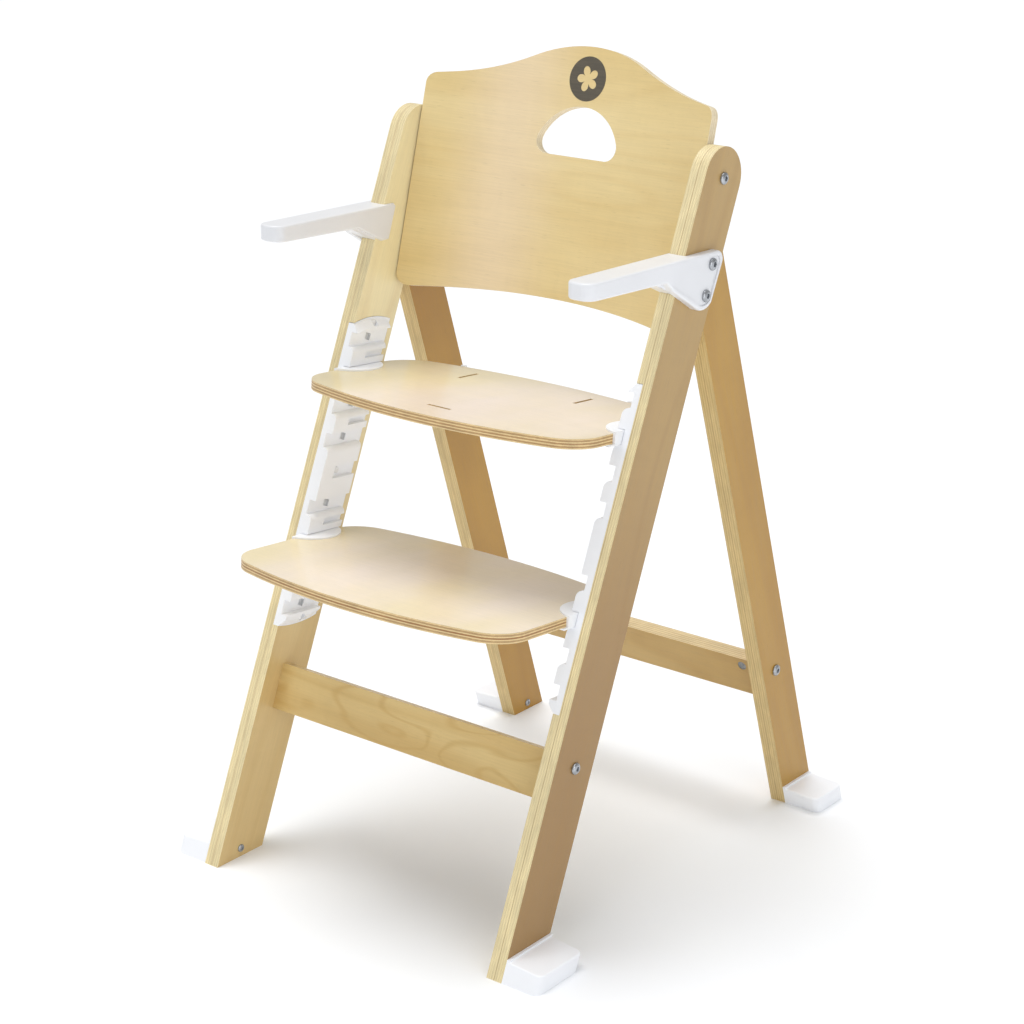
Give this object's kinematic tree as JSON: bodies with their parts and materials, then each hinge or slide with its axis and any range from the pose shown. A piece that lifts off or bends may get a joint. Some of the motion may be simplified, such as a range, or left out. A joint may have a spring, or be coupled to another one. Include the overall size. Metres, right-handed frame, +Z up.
{
  "type": "child high chair",
  "caption": "Wooden high chair with leaning plywood side frames, a curved backrest with a hand hole, and a seat and footrest that slide into grooved height rails.",
  "frame": {"origin": "on the floor, at the centre of the chair's bounding box", "axes": "+Z up, the chair faces -Y, +X is the sitter's left"},
  "size_m": [0.476, 0.5384, 0.8025],
  "materials": {
    "leg_ply": "satin lacquered birch plywood",
    "rear_leg_ply": "satin lacquered birch plywood, warmer",
    "bar_ply": "satin lacquered birch plywood",
    "board_ply": "pale glossy lacquered plywood",
    "back_ply": "satin lacquered moulded plywood",
    "white_plastic": "smooth white moulded plastic",
    "zinc": "zinc-plated steel",
    "dowel_wood": "plain beech"
  },
  "bodies": {
    "frame": {"front_leg_left": "leg_ply", "front_leg_right": "leg_ply", "rear_leg_left": "rear_leg_ply", "rear_leg_right": "rear_leg_ply", "front_crossbar": "bar_ply", "rear_crossbar": "bar_ply", "crossbar_bolts": "zinc", "crossbar_barrel_nuts": "zinc", "crossbar_dowels": "dowel_wood", "leg_joint_bolts": "zinc", "leg_joint_barrel_nuts": "zinc", "leg_joint_dowels": "dowel_wood", "height_rail_left": "white_plastic", "height_rail_right": "white_plastic", "rail_blocks_left": "white_plastic", "rail_blocks_right": "white_plastic", "rail_screws": "zinc", "backrest_panel": "back_ply", "armrest_bolts": "zinc", "armrest_inserts": "zinc", "top_bolts": "zinc", "backrest_pins": "zinc", "armrest_left": "white_plastic", "armrest_right": "white_plastic", "foot_pad_front_left": "white_plastic", "foot_pad_front_right": "white_plastic", "foot_pad_rear_left": "white_plastic", "foot_pad_rear_right": "white_plastic", "foot_screws": "zinc"},
    "seat": {"seat_board": "board_ply", "seat_bracket_left": "white_plastic", "seat_bracket_right": "white_plastic", "seat_bracket_bolts": "zinc", "seat_rear_bumpers": "white_plastic"},
    "footrest": {"footrest_board": "board_ply", "footrest_bracket_left": "white_plastic", "footrest_bracket_right": "white_plastic", "footrest_bracket_bolts": "zinc"}
  },
  "joints": [
    {"name": "seat_slide", "type": "slide", "parent": "frame", "child": "seat", "axis": [0, -0.9959, 0.0906], "range_m": [0, 0.06]},
    {"name": "footrest_slide", "type": "slide", "parent": "frame", "child": "footrest", "axis": [0, -0.9959, 0.0906], "range_m": [0, 0.06]}
  ]
}
